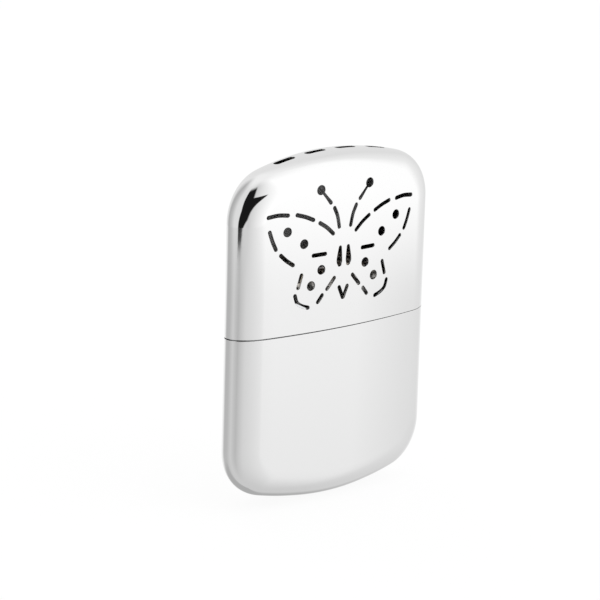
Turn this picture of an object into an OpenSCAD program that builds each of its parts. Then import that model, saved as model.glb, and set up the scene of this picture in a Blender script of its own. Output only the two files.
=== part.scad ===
// Catalytic hand warmer: an oval metal tank packed with fuel-soaked cotton, a catalyst burner that
// pushes on its neck, and a vented cap that slides over a collar.
// Millimetres, +Z up, origin under the middle of the case.

/* [Case] */
// Width of the closed case
case_w = 68; // [62:1:80]
// Thickness of the closed case at its middle
case_t = 16; // [15:0.5:20]
// Height of the closed case
case_h = 95; // [90:1:110]
// Height of the tank, up to the seam under the cap
tank_h = 47.8; // [44:0.1:52]
// Gap that shows between the tank's rim and the cap's rim
seam_gap = 0.15; // [0.1:0.05:0.4]
// Thickness of the drawn sheet of the tank and the cap
wall = 0.5; // [0.4:0.05:0.8]
// Radius of the case's four corners, seen from the front
corner_r = 14; // [10:0.5:18]
// Radius of the shallow arcs along the top and the bottom
end_r = 96; // [70:1:160]
// Radius at which the front and back roll over into the edge
edge_roll = 7.4; // [5:0.1:7.6]
// How much thinner the case is at its sides than at its middle, on each face
face_bulge = 3.4; // [1:0.1:4]

/* [Pattern of vents in the cap's front] */
// Distance of the pattern's middle from the cap's middle
pattern_x = -0.9; // [-3:0.1:3]
// Height of the pattern's waist above the cap's rim
pattern_rise = 20.9; // [19:0.1:24]
// Width of a slot
slot_w = 0.9; // [0.6:0.05:1.2]
// Diameter of a round hole
dot_d = 2.3; // [1.6:0.1:2.8]

/* [Slots along the cap's top] */
// Number of slots
top_slots = 4; // [2:1:4]
// Distance between the middles of two slots
top_slot_pitch = 10.6; // [9:0.1:12]
// Length of a slot
top_slot_l = 6.8; // [4:0.1:8]
// Width of a slot
top_slot_w = 1.9; // [1:0.1:2.4]

/* [Collar that the cap slides over] */
// Height of the collar above the tank's rim
collar_rise = 9; // [8:0.5:12]
// Depth of the collar inside the tank
collar_drop = 6; // [4:0.5:10]
// Thickness of the collar
collar_t = 0.5; // [0.4:0.05:0.8]
// Clearance between the collar and the sheet around it
collar_fit = 0.15; // [0.1:0.05:0.3]
// Radius of the finger scoop in the collar's front and back
scoop_r = 30; // [20:1:40]
// Depth of the finger scoop
scoop_depth = 5; // [2:0.5:6]

/* [Springs that grip the cap] */
// Width of a leaf spring
spring_w = 3; // [2:0.5:4]
// Height of a leaf spring
spring_h = 7.6; // [7:0.1:7.8]
// Depth of a spring's top edge below the collar's
spring_inset = 0.5; // [0.3:0.1:1]
// Thickness of a leaf spring
spring_t = 0.3; // [0.2:0.05:0.4]
// Radius of the dimple that presses on the cap
dimple_r = 1.1; // [0.9:0.1:1.3]
// Depth of the dimple's middle below the spring's top edge
dimple_drop = 2; // [1.8:0.1:3]
// Clearance between the dimple's crown and the cap
dimple_fit = 0.06; // [0.05:0.01:0.1]
// Radius of the rivet that holds a spring
rivet_r = 0.7; // [0.5:0.1:0.9]
// Height of the rivet's middle above the spring's bottom edge
rivet_rise = 1.6; // [1.2:0.1:2]

/* [Tank top and filler neck] */
// Depth of the tank's top plate below the rim
plate_drop = 1; // [0.5:0.5:3]
// Thickness of the top plate
plate_t = 0.5; // [0.4:0.1:0.8]
// Height of the flange that turns down around the top plate
plate_flange = 2.5; // [1:0.5:4]
// Width of the neck, from one round end to the other
neck_w = 29; // [26:0.5:31]
// Height of the neck above the tank's rim
neck_rise = 9.4; // [7:0.2:11]
// Thickness of the neck's wall
neck_wall = 0.5; // [0.4:0.05:0.6]
// Width of the ring around the foot of the neck
neck_ring_w = 1.4; // [1:0.1:1.8]
// Depth of the screen below the mouth of the neck
screen_drop = 5; // [4.5:0.1:5.5]
// Thickness of the perforated screen
screen_t = 0.4; // [0.3:0.1:0.6]
// Number of holes in each of the screen's two rows
screen_holes = 9; // [5:1:9]
// Diameter of a hole in the screen
screen_hole_d = 1.5; // [1:0.1:1.8]
// Metal left between the two rows of holes, in the screen and in the burner's tray
row_web = 1.2; // [0.8:0.1:1.4]

/* [Burner] */
// Length of the burner, over its cage
burner_w = 40; // [36:0.5:44]
// Air gap between the burner's cage and the cap's wall, at the middle
burner_air = 2.7; // [2.4:0.1:2.9]
// How far the tray stands out past the skirt, at the front and back
burner_step = 0.6; // [0.6:0.1:1]
// Thickness of the burner's sheet
burner_sheet = 0.4; // [0.3:0.05:0.5]
// Clearance between the burner's skirt and the neck
neck_fit = 0.08; // [0.05:0.01:0.1]
// Length of the skirt that grips the neck
skirt_grip = 7.6; // [5:0.2:8]
// Space between the neck's mouth and the burner's tray
vapour_space = 1; // [0.5:0.1:1.5]
// Height of the tray's rim
tray_rim = 2.2; // [1.5:0.1:3]
// Number of holes in each of the tray's two rows
tray_holes = 9; // [5:1:10]
// Diameter of a hole in the tray
tray_hole_d = 1.6; // [1:0.1:1.8]
// Pitch of the wires in the net under the mat
gauze_pitch = 1.9; // [1.8:0.1:3]
// Width of the openings in the net
gauze_gap = 1.3; // [1:0.1:1.5]
// Thickness of the catalyst mat
mat_t = 3.6; // [2.5:0.1:4.5]
// Height of the air space above the mat
cage_air = 1.5; // [0.8:0.1:2.5]
// Number of windows along each side of the cage
cage_windows = 9; // [5:1:10]
// Width of the bars between the windows
cage_bar_w = 1.3; // [0.8:0.1:1.5]
// Height of a window in the cage's side
window_h = 2.2; // [1:0.1:3]
// Width of the cage's edge, left between the windows of its top and its sides
cage_edge_w = 1.7; // [1:0.1:2.2]
// Width of a clip that holds the cage on the tray
clip_w = 3.6; // [2.5:0.1:4.5]
// Length of a clip's arms
clip_arm = 2.4; // [1.5:0.1:3]

/* [Hidden] */

// Steps in which the case's curved sheet is divided
corner_steps = 8;
end_steps = 6;
roll_steps = 7;
$fn = 48;
// Sides of a cylinder that cuts the rounded end of a vent
vent_fn = 16;
// How far a cutting shape runs past the face that it cuts
past = 1;
// Width of the narrow flat left along the case's edge, where front and back meet
edge_flat = 0.3;
// Gap between sheet parts that are soldered, spot welded or folded on one another
seat = 0.05;
// Gap around a soft packing
soft_gap = 0.3;
// Thickness of the net under the mat and of the strip around it
gauze_t = 0.3;
frame_t = 0.3;
// Height of a rivet's head
rivet_head_t = 0.5;

// Heights of the pieces
cap_rim_z = tank_h + seam_gap;
plate_top_z = tank_h - plate_drop;
collar_top_z = tank_h + collar_rise;
neck_top_z = tank_h + neck_rise;
neck_foot_z = plate_top_z - plate_t - plate_flange;
screen_top_z = neck_top_z - screen_drop;
tray_z = neck_top_z + vapour_space;
gauze_z = tray_z + burner_sheet + seat;
mat_z = gauze_z + gauze_t + seat;
cage_top_z = mat_z + mat_t + cage_air + burner_sheet;
cage_foot_z = tray_z + burner_sheet + 2*seat;
skirt_foot_z = neck_top_z - skirt_grip;
wadding_top_z = min(tank_h - collar_drop, neck_foot_z) - soft_gap;

// Widths and thicknesses of the neck and the burner, each inside the next
cage_t = case_t - 2*wall - 2*burner_air;
tray_w = burner_w - 2*(burner_sheet + seat);
tray_t = cage_t - 2*(burner_sheet + seat);
skirt_w = neck_w + 2*(burner_sheet + neck_fit);
skirt_t = tray_t - 2*burner_step;
neck_t = skirt_t - 2*(burner_sheet + neck_fit);
bore_w = neck_w - 2*neck_wall;
bore_t = neck_t - 2*neck_wall;

// Depths of the collar's two faces inside the case's outer face
collar_out = wall + collar_fit;
collar_in = collar_out + collar_t;

// ---- The case's curved sheet ----
// Every skin of the case is the outer one moved in by the depth cut. Seen from the front its outline has
// straight sides, corner arcs and a shallow end arc. The faces bulge, and roll over into the edge.

// Half thickness of a skin at x from the middle, inside its rolled edge
function face_y(x, cut) = case_t/2 - cut - face_bulge*pow(2*x/case_w, 2);

// Centres of the corner and end arcs, and the angle at which they meet
corner_x = case_w/2 - corner_r;
end_z = case_h - end_r;
corner_z = end_z + sqrt(pow(end_r - corner_r, 2) - pow(corner_x, 2));
meet_turn = atan2(corner_z - end_z, corner_x);

// Stations along the outline, from the right-hand rim over the top to the middle:
// [centre x, centre z, angle, radius]
function right_stations(rim_z) = concat(
    [[corner_x, rim_z, 0, corner_r]],
    [for (i = [0:corner_steps]) [corner_x, corner_z, meet_turn*i/corner_steps, corner_r]],
    [for (i = [1:end_steps]) [0, end_z, meet_turn + (90 - meet_turn)*i/end_steps, end_r]]
);
function left_station(s) = [-s[0], s[1], 180 - s[2], s[3]];
function stations(rim_z) = let (right = right_stations(rim_z), last = len(right) - 1)
    concat(right, [for (i = [last - 1:-1:0]) left_station(right[i])]);

// Angle of the roll at step k: 90 at the front face, 0 at the edge, then 90 again at the back face
rolls = 2*roll_steps + 1;
function roll_turn(k) = 90*(k <= roll_steps ? 1 - k/roll_steps : (k - roll_steps - 1)/roll_steps);
function roll_side(k) = k <= roll_steps ? -1 : 1;

// Point of a skin at the station s and the roll step k
function skin_point(s, k, cut) =
    let (turn = roll_turn(k))
    let (r = s[3] - cut - (edge_roll - cut)*(1 - cos(turn)))
    let (x = s[0] + r*cos(s[2]))
    let (face = face_y(x, cut))
    let (drop = min(edge_roll - cut, face - edge_flat/2))
    [x, roll_side(k)*(face - drop*(1 - sin(turn))), s[1] + r*sin(s[2])];

// Corners of a skin: the rolled edge station by station, then the feet of the front and back faces
function skin_points(cut, rim_z) =
    let (st = stations(rim_z), last = len(st) - 1)
    concat(
        [for (s = st) for (k = [0:rolls]) skin_point(s, k, cut)],
        [for (k = [0, rolls]) for (i = [2:last - 2]) let (p = skin_point(st[i], k, cut))
            [p[0], roll_side(k)*face_y(p[0], cut), rim_z]]
    );

// The same corners by number, where the skin's first one has the number base
last_station = 2*(corner_steps + end_steps + 1);
points_a_skin = (last_station + 1)*(rolls + 1) + 2*(last_station - 3);
function roll_at(i, k, base) = base + i*(rolls + 1) + k;
function foot_at(i, k, base) =
    i == 1 ? roll_at(0, k, base)
    : i == last_station - 1 ? roll_at(last_station, k, base)
    : base + (last_station + 1)*(rolls + 1) + (k == 0 ? 0 : last_station - 3) + i - 2;

// Triangles of a four-cornered patch, turned over where the flag is set
function patch(a, b, c, d, over) = over ? [[a, b, c], [a, c, d]] : [[c, b, a], [d, c, a]];

function skin_faces(base, over) = concat(
    [for (i = [0:last_station - 1]) for (k = [0:rolls - 1])
        each patch(roll_at(i, k, base), roll_at(i, k + 1, base),
                   roll_at(i + 1, k + 1, base), roll_at(i + 1, k, base), over)],
    [for (i = [1:last_station - 2])
        each patch(foot_at(i + 1, 0, base), foot_at(i, 0, base),
                   roll_at(i, 0, base), roll_at(i + 1, 0, base), over)],
    [for (i = [1:last_station - 2])
        each patch(roll_at(i + 1, rolls, base), roll_at(i, rolls, base),
                   foot_at(i, rolls, base), foot_at(i + 1, rolls, base), over)]
);

// The open rim of a skin as a ring of corners, clockwise seen from above
function rim_ring(base) = concat(
    [for (i = [1:last_station - 1]) foot_at(i, 0, base)],
    [for (k = [1:rolls - 1]) roll_at(last_station, k, base)],
    [for (i = [last_station - 1:-1:1]) foot_at(i, rolls, base)],
    [for (k = [rolls - 1:-1:1]) roll_at(0, k, base)]
);

// Half a case as a shell of sheet, open at the rim
module case_shell(rim_z) {
    outer = rim_ring(0);
    inner = rim_ring(points_a_skin);
    count = len(outer);
    polyhedron(
        points = concat(skin_points(0, rim_z), skin_points(wall, rim_z)),
        faces = concat(
            skin_faces(0, false),
            skin_faces(points_a_skin, true),
            [for (j = [0:count - 1]) let (n = (j + 1) % count)
                each patch(outer[j], outer[n], inner[n], inner[j], false)]
        ),
        convexity = 6
    );
}

// The space inside a skin as a solid, closed at the rim
module case_filling(cut, rim_z) {
    ring = rim_ring(0);
    polyhedron(
        points = skin_points(cut, rim_z),
        faces = concat(
            skin_faces(0, false),
            [for (j = [1:len(ring) - 2]) [ring[j + 1], ring[j], ring[0]]]
        ),
        convexity = 4
    );
}

// Turns a shape over, so that what stood at the top of the case lies at its bottom
module upside_down() {
    translate([0, 0, case_h]) mirror([0, 0, 1]) children();
}

// Level section of a skin through the case's straight sides
function section(cut) = let (points = skin_points(cut, 0))
    [for (j = rim_ring(0)) [points[j][0], points[j][1]]];

module section_band(cut, thickness, z, height) {
    translate([0, 0, z]) linear_extrude(height) difference() {
        polygon(section(cut));
        polygon(section(cut + thickness));
    }
}

// Where a skin stands at the side of the case, at y from the middle
function side_x(y, cut) =
    let (face = face_y(case_w/2 - cut, cut))
    let (rise = max(0, 1 - (face - abs(y))/(face - edge_flat/2)))
    case_w/2 - cut - (edge_roll - cut)*(1 - sqrt(1 - rise*rise));

// ---- Shapes that repeat ----

// Oval with straight sides and round ends
module obround(w, t) {
    square([w - t, t], center = true);
    for (side = [-1, 1]) translate([side*(w - t)/2, 0]) circle(d = t);
}

module obround_plate(w, t, z, height) {
    translate([0, 0, z]) linear_extrude(height) obround(w, t);
}

module obround_tube(w, t, thickness, z, height) {
    translate([0, 0, z]) linear_extrude(height) difference() {
        obround(w, t);
        obround(w - 2*thickness, t - 2*thickness);
    }
}

// Two rows of round holes along an oval's straight sides
module hole_rows(count, w, t, d, z, height) {
    pitch = (w - t)/(count - 1);
    for (row = [-1, 1]) for (i = [0:count - 1])
        translate([(i - (count - 1)/2)*pitch, row*(d + row_web)/2, z]) cylinder(d = d, h = height);
}

// ---- Vents of the cap ----
// The pattern is a butterfly, drawn from its waist to the right, [x, z] from the waist's middle.

wing_slots = [
    [[19.0, 11.8], [22.0, 12.1], [25.0, 11.8]],
    [[10.8, 9.7], [13.4, 10.8], [16.1, 11.6]],
    [[4.0, 5.2], [6.2, 7.1], [8.6, 8.6]],
    [[24.5, 7.8], [23.6, 5.3], [22.5, 3.0]],
    [[20.9, 1.2], [19.1, -0.4], [17.0, -1.8]],
    [[6.5, 0.0], [10.5, 0.0]],
    [[14.2, -4.9], [15.2, -8.2]],
    [[16.1, -10.3], [15.4, -12.2], [13.9, -13.3], [11.8, -14.0]],
    [[3.2, -7.0], [5.6, -9.7]],
    [[7.2, -11.2], [8.6, -12.9]]
];
antenna_slots = [
    [[2.0, 6.8], [2.7, 9.8], [3.8, 12.1]],
    [[5.1, 13.7], [8.5, 17.5]]
];
tail_slot = [[1.4, -9.8], [0.1, -12.7]];
wing_dots = [[19.0, 7.3], [13.6, 3.5], [7.7, -4.2], [11.0, -8.2]];
antenna_tip = [8.5, 17.5];
// The body's drop-shaped opening, as three circles: [x, z, radius]
body_drop = [[1.4, 1.1, 0.4], [1.6, -2.3, 0.85], [1.5, -3.5, 0.55]];

// A round cutter from the front face to the middle of the case
module front_cutter(p, r) {
    translate([p[0], 0, p[1]]) rotate([90, 0, 0]) cylinder(r = r, h = case_t, $fn = vent_fn);
}

module slot_cutter(points) {
    for (i = [0:len(points) - 2]) hull() {
        front_cutter(points[i], slot_w/2);
        front_cutter(points[i + 1], slot_w/2);
    }
}

module half_butterfly() {
    for (points = wing_slots) slot_cutter(points);
    for (points = antenna_slots) slot_cutter(points);
    slot_cutter(tail_slot);
    for (p = wing_dots) front_cutter(p, dot_d/2);
    front_cutter(antenna_tip, dot_d/2);
    hull() for (drop = body_drop) front_cutter([drop[0], drop[1]], drop[2]);
}

module top_slot_cutter(x) {
    reach = (top_slot_l - top_slot_w)/2;
    hull() for (side = [-1, 1])
        translate([x + side*reach, 0, cage_top_z]) cylinder(d = top_slot_w, h = case_h, $fn = vent_fn);
}

module cap_shell() {
    color("silver") difference() {
        case_shell(cap_rim_z);
        translate([pattern_x, 0, cap_rim_z + pattern_rise]) {
            half_butterfly();
            mirror([1, 0, 0]) half_butterfly();
        }
        for (i = [0:top_slots - 1]) top_slot_cutter((i - (top_slots - 1)/2)*top_slot_pitch);
    }
}

// ---- Tank ----

module tank_shell() {
    color("silver") upside_down() case_shell(case_h - tank_h);
}

// Lid of the tank: a plate with a flange turned down inside the collar, and a hole for the neck
module tank_top_plate() {
    color("gainsboro") {
        difference() {
            translate([0, 0, plate_top_z - plate_t]) linear_extrude(plate_t)
                polygon(section(collar_in + seat));
            obround_plate(neck_w + 2*seat, neck_t + 2*seat, plate_top_z - plate_t - past, plate_t + 2*past);
        }
        section_band(collar_in + seat, plate_t, plate_top_z - plate_t - plate_flange, plate_flange);
    }
}

// Places of the leaf springs on the collar
spring_x = side_x(spring_w/2, collar_in) - 2*seat;
spring_top_z = collar_top_z - spring_inset;
dimple_z = spring_top_z - dimple_drop;
rivet_z = spring_top_z - spring_h + rivet_rise;

module collar_band() {
    color("lightgray") difference() {
        section_band(collar_out, collar_t, tank_h - collar_drop, collar_drop + collar_rise);
        translate([0, 0, collar_top_z + scoop_r - scoop_depth]) rotate([90, 0, 0])
            cylinder(r = scoop_r, h = 2*case_t, center = true, $fn = 96);
        for (side = [-1, 1]) {
            side_cutter(side, dimple_r + collar_fit, dimple_z);
            side_cutter(side, rivet_r + seat, rivet_z);
        }
    }
}

// A round cutter through one side of the collar
module side_cutter(side, r, z) {
    translate([side*case_w/2, 0, z]) rotate([0, -side*90, 0]) cylinder(r = r, h = edge_roll);
}

// Leaf spring inside one side of the collar, with a dimple that reaches through the collar to the cap
module cap_spring_left() {
    crown_x = case_w/2 - wall - dimple_fit;
    dome_foot = spring_x - spring_t/2 - (crown_x - dimple_r);
    color("silver") difference() {
        union() {
            translate([-spring_x, -spring_w/2, spring_top_z - spring_h]) cube([spring_t, spring_w, spring_h]);
            translate([dimple_r - crown_x, 0, dimple_z]) intersection() {
                sphere(r = dimple_r);
                translate([-dome_foot - 2*dimple_r, 0, 0]) cube(4*dimple_r, center = true);
            }
        }
        translate([-spring_x - past, 0, rivet_z]) rotate([0, 90, 0])
            cylinder(r = rivet_r + seat, h = spring_t + 2*past);
    }
}

module cap_spring_right() {
    mirror([1, 0, 0]) cap_spring_left();
}

// One rivet for each spring, flush outside the collar and headed inside it
module cap_spring_rivets() {
    flush_x = side_x(rivet_r, collar_out) - seat;
    head_x = spring_x - spring_t - seat;
    color("dimgray") for (side = [-1, 1]) translate([side*flush_x, 0, rivet_z]) rotate([0, -side*90, 0]) {
        cylinder(r = rivet_r, h = flush_x - head_x);
        translate([0, 0, flush_x - head_x]) cylinder(r1 = 2*rivet_r, r2 = rivet_r, h = rivet_head_t);
    }
}

// Neck that the burner pushes on, with a ring that rests on the top plate
module filler_neck() {
    color("gainsboro") {
        obround_tube(neck_w, neck_t, neck_wall, neck_foot_z, neck_top_z - neck_foot_z);
        difference() {
            obround_plate(neck_w + 2*neck_ring_w, neck_t + 2*neck_ring_w, plate_top_z, plate_t);
            obround_plate(neck_w - neck_wall, neck_t - neck_wall, plate_top_z - past, plate_t + 2*past);
        }
    }
}

// Perforated plate that holds the felt down in the neck
module neck_screen() {
    color("lightgray") difference() {
        obround_plate(bore_w - 2*seat, bore_t - 2*seat, screen_top_z - screen_t, screen_t);
        hole_rows(screen_holes, bore_w, bore_t, screen_hole_d,
            screen_top_z - screen_t - past, screen_t + 2*past);
    }
}

// Felt pad in the neck, which draws the fuel up out of the cotton
module wick_felt() {
    foot_z = wadding_top_z + seat;
    color("ivory") obround_plate(bore_w - 2*soft_gap, bore_t - 2*soft_gap,
        foot_z, screen_top_z - screen_t - seat - foot_z);
}

// Cotton that fills the tank and holds the fuel
module cotton_wadding() {
    color("white") upside_down() case_filling(wall + soft_gap, case_h - wadding_top_z);
}

// ---- Burner ----

// Sleeve that grips the neck, turned out at the top under the tray
module burner_skirt() {
    lip_w = burner_step - burner_sheet;
    color("silver") {
        obround_tube(skirt_w, skirt_t, burner_sheet, skirt_foot_z, tray_z - skirt_foot_z);
        obround_tube(skirt_w + 2*lip_w, skirt_t + 2*lip_w, lip_w + burner_sheet,
            tray_z - burner_sheet, burner_sheet);
    }
}

// Dish under the mat, with holes that let the vapour through
module burner_tray() {
    color("silver") {
        difference() {
            obround_plate(tray_w, tray_t, tray_z, burner_sheet);
            hole_rows(tray_holes, skirt_w, skirt_t, tray_hole_d, tray_z - past, burner_sheet + 2*past);
        }
        obround_tube(tray_w, tray_t, burner_sheet, tray_z, tray_rim);
    }
}

// Inside sizes of the tray
dish_w = tray_w - 2*burner_sheet;
dish_t = tray_t - 2*burner_sheet;

// Steel net under the mat
module burner_gauze() {
    columns = floor((dish_w - gauze_pitch)/gauze_pitch) - 1;
    rows = floor((dish_t - gauze_pitch)/gauze_pitch);
    color("darkgray") translate([0, 0, gauze_z]) linear_extrude(gauze_t) difference() {
        obround(dish_w - 2*seat, dish_t - 2*seat);
        for (column = [0:columns - 1]) for (row = [0:rows - 1])
            translate([(column - (columns - 1)/2)*gauze_pitch, (row - (rows - 1)/2)*gauze_pitch])
                square(gauze_gap, center = true);
    }
}

// Steel strip around the edge of the mat
module catalyst_frame() {
    color("silver") obround_tube(dish_w - 2*seat, dish_t - 2*seat, frame_t, mat_z, mat_t);
}

// Glass-fibre mat that carries the platinum
module catalyst_mat() {
    inset = seat + frame_t + soft_gap;
    color("gray") obround_plate(dish_w - 2*inset, dish_t - 2*inset, mat_z, mat_t);
}

// Windowed cover over the mat
module burner_cage() {
    window_pitch = (burner_w - cage_t)/cage_windows;
    window_w = window_pitch - cage_bar_w;
    window_z = cage_top_z - cage_edge_w + burner_sheet - window_h/2;
    top_window_t = cage_t - 2*cage_edge_w;
    color("silver") difference() {
        obround_plate(burner_w, cage_t, cage_foot_z, cage_top_z - cage_foot_z);
        obround_plate(tray_w + 2*seat, tray_t + 2*seat, cage_foot_z - past,
            cage_top_z - burner_sheet - cage_foot_z + past);
        for (i = [0:cage_windows - 1]) translate([(i - (cage_windows - 1)/2)*window_pitch, 0, 0]) {
            translate([0, 0, window_z]) cube([window_w, 2*cage_t, window_h], center = true);
            translate([0, 0, cage_top_z]) cube([window_w, top_window_t, 4*burner_sheet], center = true);
        }
    }
}

// Bent clip that holds the cage's end on the tray
module burner_clip(side) {
    foot_z = tray_z - seat - burner_sheet;
    head_z = cage_top_z + seat;
    end_x = burner_w/2 + seat;
    color("gainsboro") {
        translate([side*(end_x + burner_sheet/2), 0, (foot_z + head_z + burner_sheet)/2])
            cube([burner_sheet, clip_w, head_z + burner_sheet - foot_z], center = true);
        for (z = [foot_z, head_z])
            translate([side*(end_x + burner_sheet - clip_arm/2), 0, z + burner_sheet/2])
                cube([clip_arm, clip_w, burner_sheet], center = true);
    }
}

module burner_clip_left() {
    burner_clip(-1);
}

module burner_clip_right() {
    burner_clip(1);
}

tank_shell();
tank_top_plate();
collar_band();
cap_spring_left();
cap_spring_right();
cap_spring_rivets();
filler_neck();
neck_screen();
wick_felt();
cotton_wadding();
cap_shell();
burner_skirt();
burner_tray();
burner_gauze();
catalyst_mat();
catalyst_frame();
burner_cage();
burner_clip_left();
burner_clip_right();
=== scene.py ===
from math import asin, atan2, cos, hypot, pi, radians, sin, sqrt

import bpy
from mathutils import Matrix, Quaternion, Vector


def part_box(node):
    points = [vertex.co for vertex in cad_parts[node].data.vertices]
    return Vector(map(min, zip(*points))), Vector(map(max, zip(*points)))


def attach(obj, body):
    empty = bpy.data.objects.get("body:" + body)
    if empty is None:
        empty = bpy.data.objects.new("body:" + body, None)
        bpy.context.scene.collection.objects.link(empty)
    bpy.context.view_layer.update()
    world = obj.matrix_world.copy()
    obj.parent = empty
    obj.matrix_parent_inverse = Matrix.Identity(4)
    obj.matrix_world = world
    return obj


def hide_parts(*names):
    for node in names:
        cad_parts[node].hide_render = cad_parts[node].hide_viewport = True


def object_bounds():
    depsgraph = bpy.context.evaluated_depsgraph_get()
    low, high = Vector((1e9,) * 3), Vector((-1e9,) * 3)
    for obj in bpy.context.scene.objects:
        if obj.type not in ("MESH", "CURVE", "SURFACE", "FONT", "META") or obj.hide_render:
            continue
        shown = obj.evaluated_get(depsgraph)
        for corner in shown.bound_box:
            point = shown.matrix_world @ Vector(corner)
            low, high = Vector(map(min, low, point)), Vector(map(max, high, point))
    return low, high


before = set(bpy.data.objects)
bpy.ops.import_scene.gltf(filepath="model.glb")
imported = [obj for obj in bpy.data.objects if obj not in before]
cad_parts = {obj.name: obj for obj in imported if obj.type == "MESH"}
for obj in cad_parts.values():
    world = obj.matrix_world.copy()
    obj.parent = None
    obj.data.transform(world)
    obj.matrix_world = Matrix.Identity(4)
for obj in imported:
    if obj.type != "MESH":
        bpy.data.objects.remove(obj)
cad_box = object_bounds()

# ---- Camera ----
# A long lens from the left front and a little above, rolled by less than two degrees, so that the closed
# case stands in the frame as it does in the photograph.
case_low, case_high = cad_box
case_middle = (case_low + case_high) / 2
camera_azimuth = radians(-41.46)
camera_elevation = radians(14.99)
camera_distance = 0.87065
camera_aim = Vector((-0.00419, 0.00558, 0.05277))
camera_roll = radians(1.647)
camera_lens = 194.09

away = Vector((
    sin(camera_azimuth) * cos(camera_elevation),
    -cos(camera_azimuth) * cos(camera_elevation),
    sin(camera_elevation),
))
camera_at = case_middle + away * camera_distance
camera_data = bpy.data.cameras.new("camera")
camera_data.sensor_width = 36
camera_data.lens = camera_lens
camera_data.clip_start = 0.01
camera = bpy.data.objects.new("camera", camera_data)
bpy.context.scene.collection.objects.link(camera)
camera.location = camera_at
camera.rotation_mode = "QUATERNION"
facing = (camera_aim - camera_at).to_track_quat("-Z", "Y")
camera.rotation_quaternion = facing @ Quaternion((0, 0, 1), camera_roll)
bpy.context.scene.camera = camera

# ---- Studio ----
# White paper under the case, inside a tent of cloth. The tent has a wide soft window at the right, a black
# card at the left that draws the dark streak in the chrome, grey cloth behind, and a pale table that it all
# stands on.
bpy.context.scene.view_settings.view_transform = "Standard"
paper_size = 4.0
paper_glow = 0.88
paper_white = 0.16
# Tones by azimuth in degrees: 0 is in front of the case, and -90 is at its left.
wall_tones = (
    (-180, 0.84), (-150, 0.45), (-120, 0.57), (-90, 0.78), (-58, 0.80), (-28, 0.66), (-8, 0.88), (18, 1.13),
    (65, 1.10), (82, 0.91), (110, 0.79), (180, 0.84),
)
table_tones = (
    (-180, 1.05), (-145, 0.48), (-112, 0.50), (-78, 0.66), (-52, 0.50), (-28, 0.73), (15, 0.89), (25, 0.98),
    (45, 0.97), (60, 0.84), (100, 0.80), (120, 0.93), (180, 1.05),
)
table_below = 0.64
table_shade = 0.45
ceiling = 0.95
card_black = 0.01
card_top = 54
# The card's left and right edges, as azimuth by elevation. Its right edge has a spur.
card_left_edge = ((-20, -63.5), (-10, -63), (0, -60.5), (12, -57), (30, -59), (60, -58))
card_right_edge = (
    (-20, -52), (-13.8, -52), (-13.5, -45), (-12.5, -41), (-5, -31), (4, -26.5), (9, -22), (12.5, -16.5),
    (18.5, -1), (20.5, 1), (23, -9), (28, -28), (60, -30),
)
horizon = -14


def add_node(tree, kind, inputs=(), **settings):
    """New node with its settings, and with a value or another node's output on each named input."""
    node = tree.nodes.new("ShaderNode" + kind)
    for key, value in settings.items():
        setattr(node, key, value)
    for name, value in dict(inputs).items():
        if isinstance(value, bpy.types.NodeSocket):
            tree.links.new(value, node.inputs[name])
        else:
            node.inputs[name].default_value = value
    return node


def calculate(tree, operation, first, second=0.0):
    return add_node(tree, "Math", {0: first, 1: second}, operation=operation).outputs[0]


def multiply(tree, first, second):
    return calculate(tree, "MULTIPLY", first, second)


def fade(tree, value, start, stop):
    """0 before start, 1 after stop, and a smooth step between them."""
    settings = {"Value": value, "From Min": start, "From Max": stop}
    return add_node(tree, "MapRange", settings, interpolation_type="SMOOTHSTEP").outputs[0]


def mix_values(tree, factor, first, second):
    return add_node(tree, "Mix", {0: factor, 2: first, 3: second}, data_type="FLOAT").outputs[0]


def line_ramp(tree, value, low, high, stops, scale=1):
    """Broken line through the stops, which go from low to high. Values below 0 need a scale below 0."""
    part = add_node(tree, "MapRange", {"Value": value, "From Min": low, "From Max": high}).outputs[0]
    ramp = add_node(tree, "ValToRGB", {"Fac": part})
    elements = ramp.color_ramp.elements
    while len(elements) < len(stops):
        elements.new(1)
    for element, (place, level) in zip(elements, stops):
        element.position = (place - low) / (high - low)
        element.color = (level / scale, level / scale, level / scale, 1)
    line = ramp.outputs["Color"]
    return line if scale == 1 else multiply(tree, line, scale)


studio = bpy.data.worlds.new("studio")
bpy.context.scene.world = studio
studio.use_nodes = True
tent = studio.node_tree
tent.nodes.clear()
direction = add_node(tent, "SeparateXYZ", {0: add_node(tent, "TexCoord").outputs["Generated"]}).outputs
azimuth = calculate(tent, "DEGREES", calculate(
    tent, "ARCTAN2", direction["X"], multiply(tent, direction["Y"], -1)))
elevation = calculate(tent, "DEGREES", calculate(tent, "ARCSINE", direction["Z"]))
# Below the horizon the table's tone drops a quarter of the way at once and the rest slowly. Behind the case
# it lies in shade.
near_drop = multiply(tent, fade(tent, elevation, -13, -19), 0.25)
far_drop = multiply(tent, fade(tent, elevation, -18, -75), 0.75)
table_rim = line_ramp(tent, azimuth, -180, 180, table_tones)
table = mix_values(tent, calculate(tent, "ADD", near_drop, far_drop), table_rim, table_below)
behind = fade(tent, calculate(tent, "ABSOLUTE", azimuth), 98, 130)
shaded = multiply(tent, behind, fade(tent, elevation, -24, -44))
table = mix_values(tent, shaded, table, table_shade)
wall_ring = line_ramp(tent, azimuth, -180, 180, wall_tones)
walls = mix_values(tent, fade(tent, elevation, 50, 80), wall_ring, ceiling)
cloth = mix_values(tent, fade(tent, elevation, horizon - 0.8, horizon + 1.6), table, walls)
left_edge = line_ramp(tent, elevation, -20, 60, card_left_edge, -100)
right_edge = line_ramp(tent, elevation, -20, 60, card_right_edge, -100)
from_left = calculate(tent, "SUBTRACT", azimuth, left_edge)
from_right = calculate(tent, "SUBTRACT", right_edge, azimuth)
card = fade(tent, from_left, -2, 2)
card = multiply(tent, card, fade(tent, from_right, -2.5, 2.5))
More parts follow.
